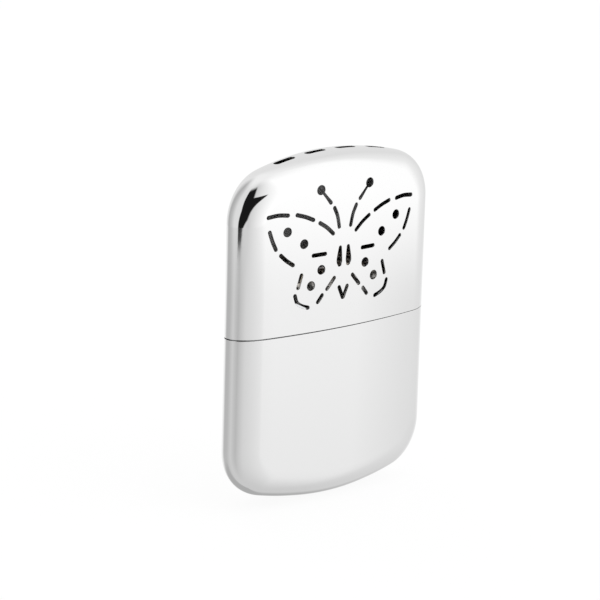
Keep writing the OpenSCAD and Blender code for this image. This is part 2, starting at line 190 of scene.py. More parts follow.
card = multiply(tent, card, fade(tent, elevation, horizon + 0.17, horizon + 0.34))
card = multiply(tent, card, fade(tent, elevation, card_top + 6, card_top - 6))
tent_tone = mix_values(tent, card, cloth, card_black)
tent_light = add_node(tent, "Background", {"Color": tent_tone, "Strength": 1.0})
white_light = add_node(tent, "Background", {"Color": (1, 1, 1, 1), "Strength": 1.0})
seen = add_node(tent, "MixShader", {
    0: add_node(tent, "LightPath").outputs["Is Camera Ray"],
    1: tent_light.outputs[0],
    2: white_light.outputs[0],
})
add_node(tent, "OutputWorld", {"Surface": seen.outputs[0]})

bpy.ops.object.select_all(action="DESELECT")
bpy.ops.mesh.primitive_plane_add(size=paper_size, location=(0, 0, case_low.z))
floor = bpy.context.object
floor.name = "floor"
floor.visible_glossy = False
paper = bpy.data.materials.new("white_paper")
paper.use_nodes = True
paper_tree = paper.node_tree
paper_tree.nodes.clear()
glow = add_node(paper_tree, "Emission", {"Strength": paper_glow})
matt = add_node(paper_tree, "BsdfDiffuse", {"Color": (paper_white, paper_white, paper_white, 1)})
lit = add_node(paper_tree, "AddShader", {0: glow.outputs[0], 1: matt.outputs[0]})
add_node(paper_tree, "OutputMaterial", {"Surface": lit.outputs[0]})
floor.data.materials.append(paper)

# ---- Case ----
# Tank and cap are each drawn from one blank of steel sheet, and then plated with bright chrome. A blank
# starts as a flat grid, and each of its points is pressed on to the die.
case_width = case_high.x - case_low.x
case_thickness = case_high.y - case_low.y
case_height = case_high.z - case_low.z
sheet = 0.0005
corner_radius = 0.014
end_radius = 0.096
edge_roll = 0.0074
face_bulge = 0.0034
edge_flat = 0.0003
rim_edge = 0.00010
wall_rows = 60
roll_rows = 20
corner_columns = 16
end_columns = 64

corner_x = case_width / 2 - corner_radius
end_z = case_height - end_radius
corner_z = end_z + sqrt((end_radius - corner_radius) ** 2 - corner_x ** 2)
meet_angle = atan2(corner_z - end_z, corner_x)


def face_depth(x, cut=0):
    return case_thickness / 2 - cut - face_bulge * (2 * x / case_width) ** 2


def die_point(centre, angle, radius, turn, side, cut=0):
    """Point of the die's rolled edge, or cut inside it: turn is 0 at the edge and pi / 2 at the face."""
    reach = radius - cut - (edge_roll - cut) * (1 - cos(turn))
    x = centre[0] + reach * cos(angle)
    face = face_depth(x, cut)
    drop = min(edge_roll - cut, face - edge_flat / 2)
    return Vector((x, side * (face - drop * (1 - sin(turn))), centre[1] + reach * sin(angle)))


def outline_stations():
    """Arc centre, angle and radius along the case's outline, from its right side over the top."""
    stations = [((corner_x, corner_z), meet_angle * i / corner_columns, corner_radius)
                for i in range(corner_columns)]
    sweep = pi - 2 * meet_angle
    stations += [((0, end_z), meet_angle + sweep * i / end_columns, end_radius)
                 for i in range(end_columns + 1)]
    stations += [((-corner_x, corner_z), pi - meet_angle * i / corner_columns, corner_radius)
                 for i in reversed(range(corner_columns))]
    return stations


def rolled_rows():
    """Turn and side of each row over the edge, from the front face to the back face."""
    turns = [pi / 2 * (1 - k / roll_rows) for k in range(roll_rows + 1)]
    return [(turn, -1) for turn in turns] + [(turn, 1) for turn in reversed(turns)]


def pressed_blank(columns, rows, die):
    bpy.ops.object.select_all(action="DESELECT")
    bpy.ops.mesh.primitive_grid_add(x_subdivisions=columns, y_subdivisions=rows, size=1)
    blank = bpy.context.object
    for vertex in blank.data.vertices:
        column = round((vertex.co.x + 0.5) * columns)
        row = round((vertex.co.y + 0.5) * rows)
        vertex.co = die(column, row)
    return blank


def choose(piece):
    """Makes the piece the active object and the only selected one."""
    bpy.ops.object.select_all(action="DESELECT")
    piece.select_set(True)
    bpy.context.view_layer.objects.active = piece


def join(pieces):
    choose(pieces[0])
    for piece in pieces:
        piece.select_set(True)
    if len(pieces) > 1:
        bpy.ops.object.join()
    return bpy.context.object


def face_outwards(piece):
    choose(piece)
    bpy.ops.object.mode_set(mode="EDIT")
    bpy.ops.mesh.select_all(action="SELECT")
    bpy.ops.mesh.normals_make_consistent(inside=False)
    bpy.ops.object.mode_set(mode="OBJECT")


def drawn_shell(name, rim_z, cut=0, slope=0):
    """Half of the case as an open skin, from its rim up over the top, cut inside its outer face. The rim is
    at rim_z in the middle, and may slope a little towards the right."""
    stations, rolls = outline_stations(), rolled_rows()
    last = len(rolls) - 1

    def over_the_top(column, row):
        station = stations[column]
        front = row < wall_rows
        back = row > wall_rows + last
        turn, side = rolls[0 if front else last if back else row - wall_rows]
        point = die_point(*station, turn, side, cut)
        share = row / wall_rows if front else (2 * wall_rows + last - row) / wall_rows if back else 1
        foot = rim_z + slope * point.x
        point.z = foot + (point.z - foot) * share
        return point

    def side_point(column, row, side):
        point = die_point((corner_x, 0), 0, corner_radius, *rolls[row], cut)
        point.x *= side
        foot = rim_z + slope * point.x
        point.z = foot + (corner_z - foot) * column / wall_rows
        return point

    blanks = [pressed_blank(len(stations) - 1, 2 * wall_rows + last, over_the_top)]
    for side in (1, -1):
        blanks.append(pressed_blank(wall_rows, last, lambda column, row: side_point(column, row, side)))
    shell = join(blanks)
    shell.name = name
    bpy.ops.object.mode_set(mode="EDIT")
    bpy.ops.mesh.select_all(action="SELECT")
    bpy.ops.mesh.remove_doubles(threshold=1e-6)
    bpy.ops.object.mode_set(mode="OBJECT")
    face_outwards(shell)
    return shell


def apply_modifier(piece, kind, **values):
    bpy.context.view_layer.objects.active = piece
    modifier = piece.modifiers.new(kind.lower(), kind)
    for key, value in values.items():
        setattr(modifier, key, value)
    bpy.ops.object.modifier_apply(modifier=modifier.name)


def smooth(piece, angle):
    choose(piece)
    bpy.ops.object.shade_smooth_by_angle(angle=radians(angle))


def thicken(shell, outside, inside):
    shell.data.materials.append(outside)
    shell.data.materials.append(inside)
    apply_modifier(
        shell, "SOLIDIFY", thickness=sheet, offset=-1, use_even_offset=True, material_offset=1,
        material_offset_rim=1)
    smooth(shell, 50)
    apply_modifier(
        shell, "BEVEL", width=rim_edge, segments=3, limit_method="ANGLE", angle_limit=radians(50),
        harden_normals=True)


def marks_group():
    """Fine lines that tools and hands leave on metal, and a cloudy haze over them."""
    group = bpy.data.node_groups.new("metal_marks", "ShaderNodeTree")
    for name, kind in (("Vector", "NodeSocketVector"), ("Stretch", "NodeSocketVector"),
                       ("Roughness", "NodeSocketFloat"), ("Lines", "NodeSocketFloat"),
                       ("Haze", "NodeSocketFloat"), ("Depth", "NodeSocketFloat")):
        group.interface.new_socket(name, in_out="INPUT", socket_type=kind)
    for name, kind in (("Roughness", "NodeSocketFloat"), ("Cloud", "NodeSocketFloat"),
                       ("Normal", "NodeSocketVector")):
        group.interface.new_socket(name, in_out="OUTPUT", socket_type=kind)
    given = group.nodes.new("NodeGroupInput").outputs
    made = group.nodes.new("NodeGroupOutput").inputs
    along = add_node(group, "VectorMath", {0: given["Vector"], 1: given["Stretch"]}, operation="MULTIPLY")
    lines = add_node(group, "TexNoise", {
        "Vector": along.outputs[0], "Scale": 1.0, "Detail": 4.0}).outputs[0]
    cloud = add_node(group, "TexNoise", {
        "Vector": given["Vector"], "Scale": 90.0, "Detail": 3.0}).outputs[0]
    lines_share = multiply(group, calculate(group, "SUBTRACT", lines, 0.5), given["Lines"])
    cloud_share = multiply(group, calculate(group, "SUBTRACT", cloud, 0.4), given["Haze"])
    rough = calculate(group, "ADD", given["Roughness"], calculate(group, "ADD", lines_share, cloud_share))
    group.links.new(calculate(group, "MAXIMUM", rough, 0.02), made["Roughness"])
    group.links.new(cloud, made["Cloud"])
    bump = add_node(group, "Bump", {"Height": lines, "Strength": 1.0, "Distance": given["Depth"]})
    group.links.new(bump.outputs[0], made["Normal"])
    return group


metal_marks = marks_group()


def plain_material(name):
    material = bpy.data.materials.new(name)
    material.use_nodes = True
    return material, material.node_tree, material.node_tree.nodes["Principled BSDF"]


def metal(name, colour, roughness, stretch, lines, haze, depth):
    """Metal with marks drawn out along the axes whose stretch is small. Its nodes are returned with it."""
    material, tree, shader = plain_material(name)
    shader.inputs["Base Color"].default_value = (*colour, 1)
    shader.inputs["Metallic"].default_value = 1
    marks = tree.nodes.new("ShaderNodeGroup")
    marks.node_tree = metal_marks
    place = add_node(tree, "TexCoord").outputs["Object"]
    tree.links.new(place, marks.inputs["Vector"])
    for key, value in (("Stretch", stretch), ("Roughness", roughness), ("Lines", lines), ("Haze", haze),
                       ("Depth", depth)):
        marks.inputs[key].default_value = value
    tree.links.new(marks.outputs["Roughness"], shader.inputs["Roughness"])
    tree.links.new(marks.outputs["Normal"], shader.inputs["Normal"])
    return material, tree, shader, marks, place


chrome = metal("bright_chrome", (0.90, 0.90, 0.90), 0.035, (400, 400, 400), 0.01, 0.03, 0.0000002)[0]
inner_plate = metal("dull_plating", (0.46, 0.46, 0.46), 0.26, (900, 900, 250), 0.10, 0.15, 0.000002)[0]

# Tank, drawn with the end down. Both rims are trimmed a hair out of level, so that the seam closes towards
# the right.
tank_rim_drop, tank_rim_slope = 0.00015, -0.0021
cap_rim_drop, cap_rim_slope = 0.00012, -0.0016
tank_rim_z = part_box("tank_shell")[1].z - tank_rim_drop
tank = drawn_shell("tank_case", case_height - tank_rim_z, slope=tank_rim_slope)
bpy.ops.object.mode_set(mode="EDIT")
bpy.ops.mesh.select_all(action="SELECT")
bpy.ops.transform.mirror(constraint_axis=(False, False, True), center_override=(0, 0, case_height / 2))
bpy.ops.object.mode_set(mode="OBJECT")
face_outwards(tank)
thicken(tank, chrome, inner_plate)
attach(tank, "tank")
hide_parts("tank_shell")

# Cap, with the vents punched through its front: a butterfly in outline, each half the mirror of the other,
# and four slots along the top. A punch has a little round lip, which rounds the edge of its hole.
cap_rim_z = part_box("cap_shell")[0].z
waist = (-0.0009, cap_rim_z + 0.0208)
slot_width = 0.0011
dot_radius = 0.0013
top_slot_length = 0.0068
top_slot_width = 0.0021
top_slot_pitch = 0.0106
lip = 0.0001
# Rings of a punch: depth below the outer face, and reach outside the hole's outline, both in lips.
punch_rings = ((-6, 1), (-0.12, 1), (0.094, 0.58), (0.29, 0.29), (0.66, 0.06), (1, 0), (14, 0))
# Right half's slots, in millimetres from the butterfly's waist.
wing_slots = (
    ((19.0, 11.8), (22.0, 12.1), (25.0, 11.8)),
    ((10.8, 9.7), (13.4, 10.8), (16.1, 11.6)),
    ((4.0, 5.2), (6.2, 7.1), (8.6, 8.6)),
    ((24.5, 7.8), (23.6, 5.3), (22.5, 3.0)),
    ((20.9, 1.2), (19.1, -0.4), (17.0, -1.8)),
    ((6.5, 0.0), (10.5, 0.0)),
    ((14.2, -4.9), (15.2, -8.2)),
    ((16.1, -10.3), (15.4, -12.2), (13.9, -13.3), (11.8, -14.0)),
    ((3.2, -7.0), (5.6, -9.7)),
    ((7.2, -11.2), (8.6, -12.9)),
)
antenna_slot = ((2.0, 6.8), (2.7, 9.8), (3.8, 12.1))
antenna_foot, antenna_tip = (5.1, 13.7), (8.5, 17.5)
antenna_ball = 1.35
tail_slot = ((1.4, -9.8), (0.1, -12.7))
wing_dots = ((19.0, 7.3), (13.6, 3.5), (7.7, -4.2), (11.0, -8.2))
body_drop = ((1.4, 1.1, 0.5), (1.6, -2.3, 0.95), (1.5, -3.5, 0.65))


def curve_points(points, steps):
    """Smooth line through the points, with each stretch between two of them cut into steps."""
    ends = [points[0]] + list(points) + [points[-1]]
    line = []
    for before, start, stop, after in zip(ends, ends[1:], ends[2:], ends[3:]):
        for k in range(steps):
            t = k / steps
            line.append(tuple(
                0.5 * (2 * q + (r - p) * t + (2 * p - 5 * q + 4 * r - s) * t ** 2
                       + (3 * q - p - 3 * r + s) * t ** 3)
                for p, q, r, s in zip(before, start, stop, after)))
    return line + [tuple(points[-1])]


def swept_outline(line, widths, end_steps):
    """Outline of a slot along the line, with half its width at each point, and round ends."""
    ways = []
    for i in range(len(line)):
        first, second = line[max(i - 1, 0)], line[min(i + 1, len(line) - 1)]
        length = hypot(second[0] - first[0], second[1] - first[1])
        ways.append(((second[0] - first[0]) / length, (second[1] - first[1]) / length))
    outline = []
    for order, sign in ((range(len(line)), 1), (reversed(range(len(line))), -1)):
        order = list(order)
        for i in order:
            reach = sign * widths[i]
            outline.append((line[i][0] - ways[i][1] * reach, line[i][1] + ways[i][0] * reach))
        end = order[-1]
        heading = atan2(sign * ways[end][1], sign * ways[end][0])
        for k in range(1, end_steps):
            turn = heading + pi / 2 - pi * k / end_steps
            outline.append((line[end][0] + widths[end] * cos(turn), line[end][1] + widths[end] * sin(turn)))
    return outline


def round_outline(centre, radius, count):
    return [(centre[0] + radius * cos(2 * pi * k / count), centre[1] - radius * sin(2 * pi * k / count))
            for k in range(count)]


def ball_outline(foot, tip, half_foot, half_neck, radius):
    """Outline of a stem that ends in a round ball, clockwise from the left of its foot."""
    length = hypot(tip[0] - foot[0], tip[1] - foot[1])
    way = ((tip[0] - foot[0]) / length, (tip[1] - foot[1]) / length)
    bite = asin(half_neck / radius)
    outline = []
    for k in range(5):
        outline.append((length * 0.1 * k, half_foot + (half_neck - half_foot) * k / 5))
    for k in range(25):
        turn = pi - bite - (2 * pi - 2 * bite) * k / 24
        outline.append((length + radius * cos(turn), radius * sin(turn)))
    for k in reversed(range(5)):
        outline.append((length * 0.1 * k, -half_foot - (half_neck - half_foot) * k / 5))
    for k in range(1, 8):
        turn = -pi / 2 - pi * k / 8
        outline.append((half_foot * cos(turn), half_foot * sin(turn)))
    return [(foot[0] + u * way[0] - v * way[1], foot[1] + u * way[1] + v * way[0]) for u, v in outline]


def spread(outline, reach):
    """The outline, moved outwards by reach. Its points run clockwise."""
    moved = []
    for i, point in enumerate(outline):
        before, after = outline[i - 1], outline[(i + 1) % len(outline)]
        way = (after[0] - before[0], after[1] - before[1])
        length = hypot(*way)
        moved.append((point[0] - way[1] / length * reach, point[1] + way[0] / length * reach))
    return moved


def stacked(loops):
    """Solid through loops of points, one after another, with its first and its last loop filled."""
    count = len(loops[0])
    bpy.ops.object.select_all(action="DESELECT")
    bpy.ops.mesh.primitive_circle_add(vertices=count, radius=1, fill_type="NGON")
    bpy.ops.object.mode_set(mode="EDIT")
    for _ in loops[1:]:
        bpy.ops.mesh.extrude_region_move(TRANSFORM_OT_translate={"value": (0, 0, 1)})
    bpy.ops.object.mode_set(mode="OBJECT")
    solid = bpy.context.object
    for vertex in solid.data.vertices:
        # The circle's first corner is a quarter turn round.
        corner = round((atan2(vertex.co.y, vertex.co.x) / (2 * pi) - 0.25) * count) % count
        vertex.co = loops[round(vertex.co.z)][corner]
    return solid


def punch(outline, place):
    """Closed punch whose rings follow the sheet: place gives the point at a depth below its outer face."""
    return stacked([
        [place(point, depth * lip) for point in spread(outline, reach * lip)]
        for depth, reach in punch_rings])


def in_front(point, depth):
    return Vector((point[0], -face_depth(point[0]) + depth, point[1]))


def on_top(point, depth):
    return Vector((point[0], point[1], end_z + sqrt(end_radius ** 2 - point[0] ** 2) - depth))


def half_butterfly(side):
    def at_waist(outline):
        outline = [(waist[0] + side * x / 1000, waist[1] + z / 1000) for x, z in outline]
        return outline if side > 0 else list(reversed(outline))

    outlines = []
    for points in wing_slots + (antenna_slot, tail_slot):
        line = curve_points(points, 5)
        outlines.append(swept_outline(line, [slot_width * 500] * len(line), 8))
    for centre in wing_dots:
        outlines.append(round_outline(centre, dot_radius * 1000, 28))
    outlines.append(ball_outline(
        antenna_foot, antenna_tip, slot_width * 500, slot_width * 350, antenna_ball))
    drop = curve_points(body_drop, 6)
    outlines.append(swept_outline([p[:2] for p in drop], [p[2] for p in drop], 8))
    return [punch(at_waist(outline), in_front) for outline in outlines]


def cut_out(piece, rows):
    for row in rows:
        tool = join(row)
        face_outwards(tool)
        apply_modifier(piece, "BOOLEAN", object=tool, operation="DIFFERENCE", solver="EXACT")
        bpy.data.objects.remove(tool)


def pierce(piece, rows, angle):
    """Cuts each row of punches out of a curved sheet, and keeps the smooth shading that it had."""
    choose(piece)
    bpy.ops.object.duplicate()
    whole = bpy.context.object
    cut_out(piece, rows)
    smooth(piece, angle)
    skin = piece.vertex_groups.new(name="skin")
    skin.add([
        vertex.index for vertex in piece.data.vertices
        if (whole.closest_point_on_mesh(vertex.co)[1] - vertex.co).length < 2e-6], 1, "ADD")
    apply_modifier(
        piece, "DATA_TRANSFER", object=whole, use_loop_data=True, data_types_loops={"CUSTOM_NORMAL"},
        loop_mapping="POLYINTERP_NEAREST", vertex_group="skin")
    piece.vertex_groups.clear()
    bpy.data.objects.remove(whole)


cap = drawn_shell("cap_case", cap_rim_z - cap_rim_drop, slope=cap_rim_slope)
thicken(cap, chrome, inner_plate)
slot_reach = (top_slot_length - top_slot_width) / 2
top_slots = []
for i in range(4):
    middle = (i - 1.5) * top_slot_pitch
    line = [(middle - slot_reach, 0), (middle, 0), (middle + slot_reach, 0)]
    top_slots.append(punch(swept_outline(line, [top_slot_width / 2] * 3, 14), on_top))
pierce(cap, [half_butterfly(1), half_butterfly(-1) + top_slots], 50)
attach(cap, "cap")
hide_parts("cap_shell")

# ---- Collar ----
# Band of steel strip inside the tank's rim, welded to it, that the cap slides over. Its front and back dip
# in a finger scoop, and each side has a hole for the spring's dimple and one for its rivet.
collar_low, collar_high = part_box("collar_band")
collar_gap = 0.00015
collar_sheet = 0.0005
scoop_radius = 0.030
scoop_depth = 0.005
scoop_blend = 0.0012
dimple_z = collar_high.z - 0.0025
rivet_z = collar_high.z - 0.0065
dimple_hole, rivet_hole = 0.00125, 0.00075
rub_heights = (0.0475, 0.0500)
# The rounding of the collar's top edge: steps into the sheet, and drops below the top.
collar_round = ((0, 0.00025), (0.00003, 0.00013), (0.0001, 0.00004), (0.0002, 0))
face_steps = 48
roll_steps = 10
collar_cut = sheet + collar_gap


def case_loop(cut, z):
    """Level section of the case, cut inside its outer face, anticlockwise from the front's left end."""
    rolls = [(pi / 2 * (1 - k / roll_steps), -1) for k in range(roll_steps + 1)]
    rolls += [(pi / 2 * k / roll_steps, 1) for k in range(roll_steps + 1)]
    right = [die_point((corner_x, 0), 0, corner_radius, turn, side, cut) for turn, side in rolls]
    edge = right[0].x
    front = [Vector((x, -face_depth(x, cut), 0))
             for x in (edge * (2 * i / face_steps - 1) for i in range(face_steps))]
    half = front + right[:-1]
    ring = half + [Vector((-point.x, -point.y, 0)) for point in half]
    for point in ring:
        point.z = z(point.x) if callable(z) else z
    return ring


def closed_band(loops):
    """Closed band through loops of points that run round it, the last one joined to the first."""
    count, depth = len(loops[0]), len(loops)
    bpy.ops.object.select_all(action="DESELECT")
    bpy.ops.mesh.primitive_torus_add(
        major_segments=count, minor_segments=depth, major_radius=1, minor_radius=0.25)
    band = bpy.context.object
    for vertex in band.data.vertices:
        x, y, z = vertex.co
        corner = round(atan2(y, x) / (2 * pi) * count) % count
        loop = round(atan2(z, hypot(x, y) - 1) / (2 * pi) * depth) % depth
        vertex.co = loops[loop][corner]
    return band


def finish_piece(piece, name, angle, material, body, node):
    """Last steps of every inner piece: name, outward faces, shading, material, body and node."""
    piece.name = name
    face_outwards(piece)
    smooth(piece, angle)
    piece.data.materials.clear()
    piece.data.materials.append(material)
    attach(piece, body)
    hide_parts(node)


def collar_top(drop):
    """Height of the collar's top edge at x, less drop, with the scoop's two corners eased."""
    def height(x):
        scoop = collar_high.z + scoop_radius - scoop_depth - sqrt(max(scoop_radius ** 2 - x ** 2, 0))
        gap = scoop - collar_high.z
        ease = max(scoop_blend - abs(gap), 0) ** 2 / (4 * scoop_blend)
        return min(scoop, collar_high.z) - ease - drop
    return height


def rod(centre, way, radius, length, count):
    """Plain round cutter along a unit way, from its centre."""
    bpy.ops.object.select_all(action="DESELECT")
    bpy.ops.mesh.primitive_cylinder_add(vertices=count, radius=radius, depth=length)
    piece = bpy.context.object
    turn = Vector((0, 0, 1)).rotation_difference(Vector(way)).to_matrix()
    for vertex in piece.data.vertices:
        vertex.co = turn @ vertex.co + Vector(centre)
    return piece


in_cut, low_z = collar_cut + collar_sheet, collar_low.z
waist_z = (low_z + collar_high.z) / 2 - 0.003
collar = closed_band([
    case_loop(collar_cut, low_z + 0.0001),
    case_loop(collar_cut, waist_z),
    *[case_loop(collar_cut + step, collar_top(drop)) for step, drop in collar_round],
    *[case_loop(in_cut - step, collar_top(drop)) for step, drop in reversed(collar_round)],
    case_loop(in_cut, waist_z),
    case_loop(in_cut, low_z + 0.0001),
    case_loop(in_cut - 0.0001, low_z),
    case_loop(collar_cut + 0.0001, low_z),
])
face_outwards(collar)
holes = []
for side in (-1, 1):
    for z, radius in ((dimple_z, dimple_hole), (rivet_z, rivet_hole)):
        holes.append(rod((side * case_width / 2, 0, z), (side, 0, 0), radius, 0.008, 32))
smooth(collar, 40)
pierce(collar, [holes], 40)
collar_steel, tree, shader, marks, place = metal(
    "satin_steel", (0.74, 0.75, 0.76), 0.30, (1800, 1800, 60), 0.10, 0.12, 0.000004)
height = add_node(tree, "SeparateXYZ", {0: place}).outputs["Z"]
rubs = add_node(tree, "TexNoise", {
    "Vector": add_node(tree, "VectorMath", {0: place, 1: (700, 700, 25)}, operation="MULTIPLY").outputs[0],
    "Scale": 1.0, "Detail": 3.0}).outputs[0]
rubbed = multiply(tree, fade(tree, rubs, 0.45, 0.65), fade(tree, height, *rub_heights))
tree.links.new(
    calculate(tree, "SUBTRACT", marks.outputs["Roughness"], multiply(tree, rubbed, 0.14)),
    shader.inputs["Roughness"])
finish_piece(collar, "collar", 40, collar_steel, "tank", "collar_band")

# ---- Cap springs ----
# Leaf of spring steel inside each side of the collar, with a pressed dimple that looks out through the
# collar's hole and grips the cap. A rivet near its foot holds it.
spring_low, spring_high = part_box("cap_spring_left")
spring_sheet = 0.0003
spring_corner = 0.0009
dimple_radius = 0.0015
spring_columns, spring_rows = 32, 48
spring_steel = metal("spring_steel", (0.60, 0.61, 0.62), 0.24, (1500, 1500, 90), 0.12, 0.10, 0.000003)[0]
spring_width = spring_high.y - spring_low.y
spring_height = spring_high.z - spring_low.z
leaf_x = -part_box("cap_spring_right")[0].x - spring_sheet


def leaf_die(column, row):
    up = spring_height * (row / spring_rows - 0.5)
    end = max(abs(up) - (spring_height / 2 - spring_corner), 0)
    half = spring_width / 2 - spring_corner + sqrt(max(spring_corner ** 2 - end ** 2, 0))
    across = half * (2 * column / spring_columns - 1)
    z = (spring_low.z + spring_high.z) / 2 + up
    off = min(hypot(across, z - dimple_z) / dimple_radius, 1)
    bump = (leaf_x - spring_low.x) * (0.5 + 0.5 * cos(pi * off))
    return Vector((leaf_x - bump, -across, z))


def mirrored_copy(piece):
    """Copy of the piece on the case's other side. finish_piece turns its faces outwards."""
    choose(piece)
    bpy.ops.object.duplicate()
    copy = bpy.context.object
    for vertex in copy.data.vertices:
        vertex.co.x = -vertex.co.x
    return copy


leaf = pressed_blank(spring_columns, spring_rows, leaf_die)
face_outwards(leaf)
if leaf.data.polygons[0].normal.x > 0:
    bpy.ops.object.mode_set(mode="EDIT")
    bpy.ops.mesh.flip_normals()
    bpy.ops.object.mode_set(mode="OBJECT")
apply_modifier(leaf, "SOLIDIFY", thickness=spring_sheet, offset=-1)
apply_modifier(leaf, "BEVEL", width=0.00005, segments=2, limit_method="ANGLE", angle_limit=radians(60))
right_leaf = mirrored_copy(leaf)
finish_piece(leaf, "spring_left", 50, spring_steel, "tank", "cap_spring_left")
finish_piece(right_leaf, "spring_right", 50, spring_steel, "tank", "cap_spring_right")

# Rivets, turned from dull steel, flush outside the collar and with a round head inside it. Each profile
# point is a radius and a distance from the outer end.
rivet_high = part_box("cap_spring_rivets")[1]
rivet_length = rivet_high.x + leaf_x + spring_sheet
rivet_profile = (
    (0.0003, 0.0), (0.0006, 0.00002), (0.0007, 0.00012), (0.0007, rivet_length + 0.00005),
    (0.0013, rivet_length + 0.00005), (0.0014, rivet_length + 0.00012), (0.00132, rivet_length + 0.00028),
    (0.0010, rivet_length + 0.00042), (0.0005, rivet_length + 0.0005),
)
rivet_steel = metal("rivet_steel", (0.55, 0.55, 0.56), 0.38, (900, 900, 900), 0.12, 0.15, 0.000004)[0]


def turned(profile, count, place):
    """Round solid from a profile of radii and distances: place gives the point at (across, up, along)."""
    turns = [2 * pi * k / count for k in range(count)]
    return stacked([
        [place(radius * cos(turn), radius * sin(turn), along) for turn in turns]
        for radius, along in profile])


rivets = join([
    turned(rivet_profile, 28, lambda u, v, along, side=side: Vector((
        side * (rivet_high.x - along), u, rivet_z + v)))
    for side in (-1, 1)])
finish_piece(rivets, "spring_rivets", 40, rivet_steel, "tank", "cap_spring_rivets")

# ---- Tank top ----
# Steel plate that closes the tank, pressed with a shallow bead and turned down in a flange inside the
# collar. It has an oval hole for the neck.
plate_low, plate_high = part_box("tank_top_plate")
plate_sheet = 0.0005
plate_cut = in_cut + 0.00005
bend_radius = 0.0006
neck_low, neck_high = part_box("filler_neck")
neck_flange = 0.0014
neck_gap = 0.0001
neck_width = neck_high.x - neck_low.x - 2 * neck_flange
neck_depth = neck_high.y - neck_low.y - 2 * neck_flange


def oval_loop(width, depth, z, side_steps=1, end_steps=24):
    """Level oval with straight sides and round ends, anticlockwise from the front side's left end."""
    reach, radius = (width - depth) / 2, depth / 2
    half = [Vector((reach * (2 * i / side_steps - 1), -radius, z)) for i in range(side_steps)]
    for k in range(end_steps):
        turn = -pi / 2 + pi * k / end_steps
        half.append(Vector((reach + radius * cos(turn), radius * sin(turn), z)))
    return half + [Vector((-point.x, -point.y, z)) for point in half]


def plate_loop(blend, cut, z):
    """Loop of the plate between its flange, at blend 0, and the neck's hole, at blend 1."""
    outer = case_loop(cut, z)
    inner = oval_loop(
        neck_width + neck_gap, neck_depth + neck_gap, z, face_steps, 2 * roll_steps + 1)
    return [first.lerp(second, blend) for first, second in zip(outer, inner)]


top, foot = plate_high.z, plate_low.z
outer_bend = [
    (0, plate_cut + bend_radius * (1 - sin(turn)), top - bend_radius * (1 - cos(turn)))
    for turn in (pi / 2 * (1 - k / 5) for k in range(6))]
inner_bend = [
    (0, plate_cut + plate_sheet + (bend_radius - plate_sheet) * (1 - sin(turn)),
     top - plate_sheet - (bend_radius - plate_sheet) * (1 - cos(turn)))
    for turn in (pi / 2 * k / 3 for k in range(4))]
bead = [(0.30, 0), (0.34, 0.00004), (0.40, 0.0002), (0.46, 0.00004), (0.50, 0)]
plate_profile = [(0, plate_cut, foot + 0.00008)] + outer_bend
plate_profile += [(blend, plate_cut + bend_radius, top - dip) for blend, dip in bead]
plate_profile += [(1, plate_cut + bend_radius, top), (1, plate_cut + bend_radius, top - plate_sheet)]
plate_profile += [
    (blend, plate_cut + bend_radius, top - plate_sheet - dip) for blend, dip in reversed(bead)]
plate_profile += inner_bend
plate_profile += [
    (0, plate_cut + plate_sheet, foot + 0.00008), (0, plate_cut + plate_sheet - 0.00008, foot),
    (0, plate_cut + 0.00008, foot)]
plate = closed_band([plate_loop(*row) for row in plate_profile])
plate_steel = metal("rolled_steel", (0.70, 0.71, 0.72), 0.30, (60, 1600, 1600), 0.12, 0.16, 0.000004)[0]
finish_piece(plate, "tank_top", 40, plate_steel, "tank", "tank_top_plate")

# ---- Filler neck ----
# Oval neck drawn from brass sheet, with a flange that lies on the top plate and is soldered there. The fuel
# is poured into it, and the burner pushes on it.
neck_sheet = 0.0005
flange_z = plate_high.z


def oval_rings(width, depth, profile, base):
    """Loops of an oval piece. The profile is in millimetres: outwards from its box, and up from base."""
    return [oval_loop(width + out * 0.002, depth + out * 0.002, base + up * 0.001) for out, up in profile]


def piece_box(node):
    """Foot and top of a CAD piece's box, its width and depth, and its height in millimetres."""
    low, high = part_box(node)
    return low.z, high.z, high.x - low.x, high.y - low.y, (high.z - low.z) * 1000


def mix_colours(tree, factor, first, second):
    return add_node(tree, "Mix", {0: factor, 6: first, 7: second}, data_type="RGBA").outputs[2]


neck_top = (neck_high.z - flange_z) * 1000
neck_foot = (neck_low.z - flange_z) * 1000
neck_profile = (
    (-0.5, neck_foot + 0.05), (-0.5, neck_top - 0.25), (-0.47, neck_top - 0.1), (-0.38, neck_top - 0.02),
    (-0.25, neck_top), (-0.12, neck_top - 0.02), (-0.03, neck_top - 0.1), (0, neck_top - 0.25),
    (0, 1.1), (0.03, 0.86), (0.12, 0.66), (0.28, 0.54), (0.5, 0.5), (1.2, 0.5), (1.34, 0.46), (1.4, 0.36),
    (1.4, 0.1), (1.36, 0.02), (1.25, 0), (0.12, 0), (0.03, -0.03), (0, -0.12), (0, neck_foot + 0.05),
    (-0.05, neck_foot), (-0.45, neck_foot),
)
neck = closed_band(oval_rings(neck_width, neck_depth, neck_profile, flange_z))
neck_brass, tree, shader, marks, place = metal(
    "drawn_brass", (0.78, 0.66, 0.42), 0.24, (1600, 1600, 70), 0.12, 0.14, 0.000004)
tarnish = fade(tree, marks.outputs["Cloud"], 0.48, 0.72)
brass_tone = mix_colours(tree, tarnish, (0.80, 0.68, 0.43, 1), (0.56, 0.44, 0.25, 1))
tree.links.new(brass_tone, shader.inputs["Base Color"])
finish_piece(neck, "filler_neck_brass", 40, neck_brass, "tank", "filler_neck")

# Screen in the neck: a perforated steel plate that holds the felt down.
screen_foot, screen_top, screen_width, screen_depth, screen_thick = piece_box("neck_screen")
screen_hole = 0.00075
row_offset = 0.00135
bore_width = neck_width - 2 * neck_sheet
bore_depth = neck_depth - 2 * neck_sheet


